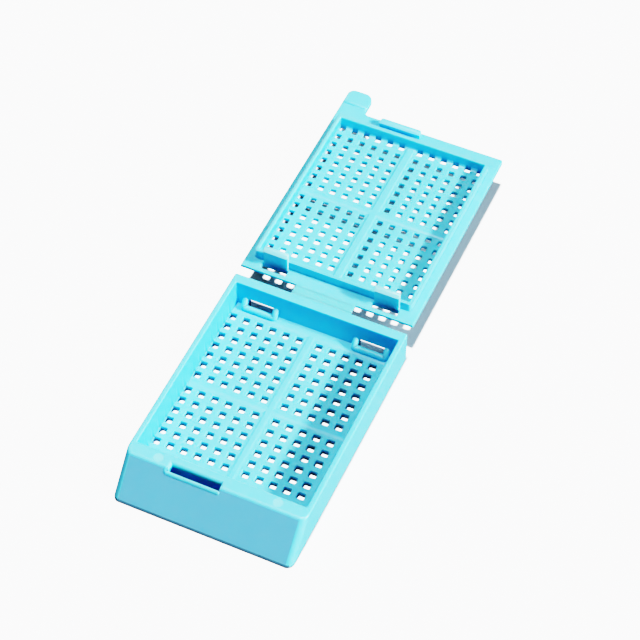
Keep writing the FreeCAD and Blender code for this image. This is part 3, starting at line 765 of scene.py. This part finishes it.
def arcAround(x, y, radius, start, sweep, steps=6):
    turns = [math.radians(start + sweep * step / steps) for step in range(steps + 1)]
    return [(x + radius * math.cos(turn), y + radius * math.sin(turn)) for turn in turns]


def lidOutline():
    inner, end = tab["width"] - side, lidFar + tab["length"]
    points = [(-side, lidNear), (side, lidNear)]
    points += arcAround(side - lid["corner"], lidFar - lid["corner"], lid["corner"], 0, 90, 4)
    points += arcAround(inner + tab["root"], lidFar + tab["root"], tab["root"], 270, -90)
    points += arcAround(inner - tab["innerCorner"], end - tab["innerCorner"], tab["innerCorner"], 0, 90, 8)
    points += arcAround(-side + tab["outerCorner"], end - tab["outerCorner"], tab["outerCorner"], 90, 90, 8)
    return points


def lidPlate():
    low = top - lid["plate"]
    plate = stack("plate", [[(x, y, z) for x, y in lidOutline()] for z in (low, top)])
    bevelled(plate, lid["relief"], lambda start, end: level(start.y, lidNear) and level(end.y, lidNear)
             and level(start.z, low) and level(end.z, low), 1)
    return bevelled(plate, lid["edgeRound"], lambda start, end: level(start.z, end.z)
                    and (level(start.z, top) or level(start.z, low)), 3)


def lidRib(plate):
    crest = top + lid["ribHeight"]
    unite(plate, raisedBlock("rib", ribBox, top - lid["rooted"], crest, lid["ribEdge"], corner=0.45))
    cut(plate, pocketTool("panel", panelBox, top - panelGrid["drop"], crest, lid["ribEdge"], root=0.08,
                          draft=0, corner=0.15))


def lidHooks(plate):
    drafted = tray["draft"] * (top - catch["height"]) / (top - tray["floorTop"])
    face = lidNear + tray["rearWall"] + drafted + hook["clearance"]
    back = face + hook["wall"]
    edge = 2 * top - catch["height"] + hook["lift"]
    tip = edge + hook["rise"]
    inside = top - lid["rooted"]
    for middle in (-catch["offset"], catch["offset"]):
        outline = [(face, inside), (back, inside), (back, tip), (back - hook["barb"], tip),
                   (face - hook["barb"], edge), (face, edge)]
        plateHook = prism("hook", outline, middle - hook["width"] / 2, middle + hook["width"] / 2)
        bevelled(plateHook, hook["edge"], lambda start, end: min(start.z, end.z) > top - 0.3
                 or (not level(start.z, end.z) and level(start.x, end.x)), 3)
        unite(plate, plateHook)
        gap = catch["width"] / 2 - hook["lift"]
        slot = (middle - gap, middle + gap, lidNear + hook["slotStart"], face)
        rings = [ringAt(slot, 0.1, z) for z in (top - lid["plate"] - 0.2, top + 0.2)]
        cut(plate, stack("hookSlot", rings))


def lidBead(plate):
    inward = lidNear + rear - shelfEdge - latch["back"] + bead["clearance"]
    outward = lidNear + rear - shelfEdge + latch["front"] - bead["clearance"] / 2
    crest = top + bead["height"]
    inside = top - lid["rooted"]
    outline = [(inward, inside), (outward, inside), (outward, crest), (inward + bead["nose"], crest),
               (inward - bead["nose"], top + bead["noseHeight"]), (inward, top + bead["neck"])]
    reach = latch["width"] / 2 - bead["endGap"]
    bar = prism("bead", outline, -latch["offset"] - reach, -latch["offset"] + reach)
    bevelled(bar, bead["round"], lambda start, end: level(start.z, crest) and level(end.z, crest)
             or (level(start.y, outward) and level(end.y, outward) and level(start.x, end.x)), 4)
    unite(plate, bar)


def wallRoot(plate, low):
    # the hollow rounding between the panel and its far wall
    radius, wall = panelGrid["rootRound"], panelBox[3]
    hollow = arcAround(wall - radius, low + radius, radius, 270, 90, 6)
    outline = [(wall - radius - 0.6, low)] + hollow + [(wall + 0.1, low + radius), (wall + 0.1, top - 0.6),
                                                        (wall - radius - 0.6, top - 0.6)]
    unite(plate, prism("wallRoot", outline, panelBox[0] - 0.1, panelBox[1] + 0.1))


def lidPanel(plate):
    half, pitch = panelGrid["hole"] / 2, panelGrid["pitch"]
    farStart = panelBox[3] - half - (panelGrid["farRows"] - 1) * pitch[1]
    nearEnd = farStart - panelGrid["rib"][1]
    nearStart = nearEnd - (panelGrid["nearRows"] - 1) * pitch[1]
    inner = panelGrid["rib"][0] / 2 - half - panelGrid["rim"]
    panelTop = top - panelGrid["drop"]
    fieldTop = panelTop - panelGrid["recess"]
    rim = half + panelGrid["rim"]
    for x0, x1 in ((panelBox[0], -inner), (inner, panelBox[1])):
        for y0, y1 in ((panelBox[2], nearEnd + rim), (farStart - rim, panelBox[3] - panelGrid["rootRound"])):
            cut(plate, rampedField("field", (x0, x1, y0, y1), fieldTop, panelTop, panelGrid["ramp"]))
    wallRoot(plate, fieldTop)
    size, columns = (panelGrid["hole"], panelGrid["hole"]), panelGrid["columns"]
    reachX = panelGrid["rib"][0] / 2 + (columns - 1) * pitch[0]
    for firstX in (-reachX, panelGrid["rib"][0] / 2):
        for firstY, rows in ((nearStart, panelGrid["nearRows"]), (farStart, panelGrid["farRows"])):
            pin = holePin(size, fieldTop, top - lid["plate"], panelGrid["edge"])
            cut(plate, pinGrid(pins, "panelPins", pin, columns, rows, pitch, (firstX, firstY, 0),
                               paints["trayPlastic"]))
        box = (-half, half, -half, half)        # the far pins also cut the root of the wall
        pin = stack("rootPin", [ringAt(box, 0.12, z) for z in (fieldTop - 0.2, top + 0.6)])
        place = (firstX, panelBox[3] - half, 0)
        cut(plate, pinGrid(pins, "rootPins", pin, columns, 1, pitch, place, paints["trayPlastic"]))


def tabRidge(plate):
    y = lidFar + tab["ridgePlace"]
    z = top - tab["ridgeSink"]
    ends = [Vector((x, y, z)) for x in (-side + 0.3, -side + tab["width"] - 0.3)]
    unite(plate, roundBar("ridge", ends, tab["ridgeRadius"], 20))


def onHook(face):
    # the two hooks, painted paler as light that passes through their thin walls
    x, y, z = face.center
    within = abs(abs(x) - catch["offset"]) < hook["width"] / 2 + 0.01
    return within and y < ribBox[2] + 0.3 and (z > top + lid["ribHeight"] + 0.02
                                              or (z > top + 0.1 and y < ribBox[2] - 0.1))


def onRib(face):
    # the long upright faces of the rib, painted darker as shade
    across, z = abs(face.center.x), face.center.z
    onSide = level(across, ribBox[1]) or level(across, panelBox[1])
    return onSide and abs(face.normal.x) > steep and top < z < top + lid["ribHeight"] - 0.1


def makeLid():
    plate = lidPlate()
    lidRib(plate)
    lidHooks(plate)
    lidBead(plate)
    tabRidge(plate)
    unite(plate, webStub(lidNear, -1))
    lidPanel(plate)
    plate.name = "lidPanel"
    return painted(plate, ((onHook, "thinPlastic"), (onRib, "wallPlastic")))


lidPiece = makeLid()
print("lid ready:", len(lidPiece.data.polygons), "faces")


def makeHinge():
    # the hinge strip: thick at its roots, thin at the fold, with many rows
    start, end = rear + hingeStrip["stub"], lidNear - hingeStrip["stub"]
    rows = hingeStrip["rows"]
    half = hingeStrip["width"] / 2
    verts, faces = [], []
    for row in range(rows + 1):
        y = start + (end - start) * row / rows
        share = min(1.0, abs(y - fold.y) / hingeStrip["groove"])
        share = share * share * (3 - 2 * share)     # eased at both ends
        low = top - hingeStrip["film"] - (hingeStrip["web"] - hingeStrip["film"]) * share
        verts += [(-half, y, low), (half, y, low), (half, y, top), (-half, y, top)]
    for row in range(rows):
        for step in range(4):
            near, far = row * 4 + step, row * 4 + (step + 1) % 4
            faces.append((near, far, far + 4, near + 4))
    faces += [(0, 1, 2, 3), tuple(range(rows * 4, rows * 4 + 4))]
    strip = newObject("hingeStrip", verts, faces)
    return finishPiece(strip, "hingeStrip", paints["hingePlastic"], 60)


hingePiece = makeHinge()

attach(trayPiece, "base")
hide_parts("base")
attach(lidPiece, "lid")
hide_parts("lid")
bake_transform(hingePiece)
print("pieces ride on their bodies")

# Two suns light the cassette alone and two light the floor alone, so none is a real lamp.
studio = {
    "floorSize": 1.2,
    "floorWhite": 0.93,
    "floorBounce": 0.03,        # the share of its white that anything but the camera sees
    "floorKey": 12.5,
    "floorKeyAngle": 4,
    "floorKeyFrom": (-0.02, -0.05, 1),
    "floorSide": 2.3,
    "floorSideAngle": 50,
    "floorSideColour": (0.7, 0.93, 1.1),
    "keyStrength": 2.7,
    "keyAngle": 3,
    "keyFrom": (-0.02, 0.02, 1),
    "sideStrength": 9.2,
    "sideElevation": 31,
    "sideTurn": 4,
    "sideAngle": 6,
    "ambient": 0.03,
    "ambientColour": (0.9, 0.97, 1.0, 1),
}
view = {
    "place": (81.62, -157.98, 251.94),
    "target": (-0.688, 21.704, 0.0),
    "lens": 117.7,
}


def makeFloor():
    reach = studio["floorSize"] / millimetre / 2
    floor = newObject("studioFloor", [(-reach, -reach, 0), (reach, -reach, 0), (reach, reach, 0),
                                      (-reach, reach, 0)], [(0, 1, 2, 3)])
    floor.data.transform(Matrix.Scale(millimetre, 4))
    material = bpy.data.materials.new("whiteFloor")
    material.use_nodes = True
    nodes, link = material.node_tree.nodes, material.node_tree.links.new
    nodes.remove(nodes["Principled BSDF"])
    bright, dim = (nodes.new("ShaderNodeBsdfDiffuse") for _ in range(2))
    blend = nodes.new("ShaderNodeMixShader")
    for shader, share in ((dim, studio["floorBounce"]), (bright, 1)):
        shader.inputs["Color"].default_value = (*(studio["floorWhite"] * share for _ in range(3)), 1)
    link(nodes.new("ShaderNodeLightPath").outputs["Is Camera Ray"], blend.inputs[0])
    link(dim.outputs[0], blend.inputs[1])
    link(bright.outputs[0], blend.inputs[2])
    link(blend.outputs[0], nodes["Material Output"].inputs["Surface"])
    floor.data.materials.append(material)
    return floor


def addSun(name, strength, angle, direction, colour):
    lamp = bpy.data.lights.new(name, "SUN")
    lamp.energy = strength
    lamp.angle = math.radians(angle)
    lamp.color = colour
    thing = bpy.data.objects.new(name, lamp)
    thing.rotation_mode = "QUATERNION"
    thing.rotation_quaternion = Vector(direction).to_track_quat("Z", "Y")
    scene.collection.objects.link(thing)
    return thing


def linkedTo(name, thing, state):
    # a list for a light that falls on this thing alone, or on all but this thing
    linked = bpy.data.collections.new(name)
    linked.objects.link(thing)
    linked.collection_objects[0].light_linking.link_state = state
    return linked


def makeLight(floor):
    white = (1.0, 1.0, 1.0)
    rise, turn = math.radians(studio["sideElevation"]), math.radians(studio["sideTurn"])
    sideFrom = (math.cos(rise) * math.cos(turn), math.cos(rise) * math.sin(turn), math.sin(rise))
    onCassette = linkedTo("allButFloor", floor, "EXCLUDE")
    onFloor = linkedTo("floorAlone", floor, "INCLUDE")
    for name, strength, angle, direction, colour, falls in (
            ("keyLight", "keyStrength", "keyAngle", studio["keyFrom"], white, onCassette),
            ("sideLight", "sideStrength", "sideAngle", sideFrom, white, onCassette),
            ("floorKey", "floorKey", "floorKeyAngle", studio["floorKeyFrom"], white, onFloor),
            ("floorSide", "floorSide", "floorSideAngle", sideFrom, studio["floorSideColour"], onFloor)):
        lamp = addSun(name, studio[strength], studio[angle], direction, colour)
        lamp.light_linking.receiver_collection = falls
    world = bpy.data.worlds.new("studio")
    world.use_nodes = True
    world.node_tree.nodes["Background"].inputs["Color"].default_value = studio["ambientColour"]
    world.node_tree.nodes["Background"].inputs["Strength"].default_value = studio["ambient"]
    scene.world = world
    scene.view_settings.view_transform = "Filmic"
    scene.view_settings.look = "Very High Contrast"


def makeCamera():
    data = bpy.data.cameras.new("camera")
    data.lens = view["lens"]
    data.sensor_width = 36
    data.clip_start = 0.01
    camera = bpy.data.objects.new("camera", data)
    place, target = Vector(view["place"]) * millimetre, Vector(view["target"]) * millimetre
    camera.location = place
    camera.rotation_mode = "QUATERNION"
    camera.rotation_quaternion = (place - target).to_track_quat("Z", "Y")
    scene.collection.objects.link(camera)
    scene.camera = camera


makeLight(makeFloor())
makeCamera()
print("studio ready")
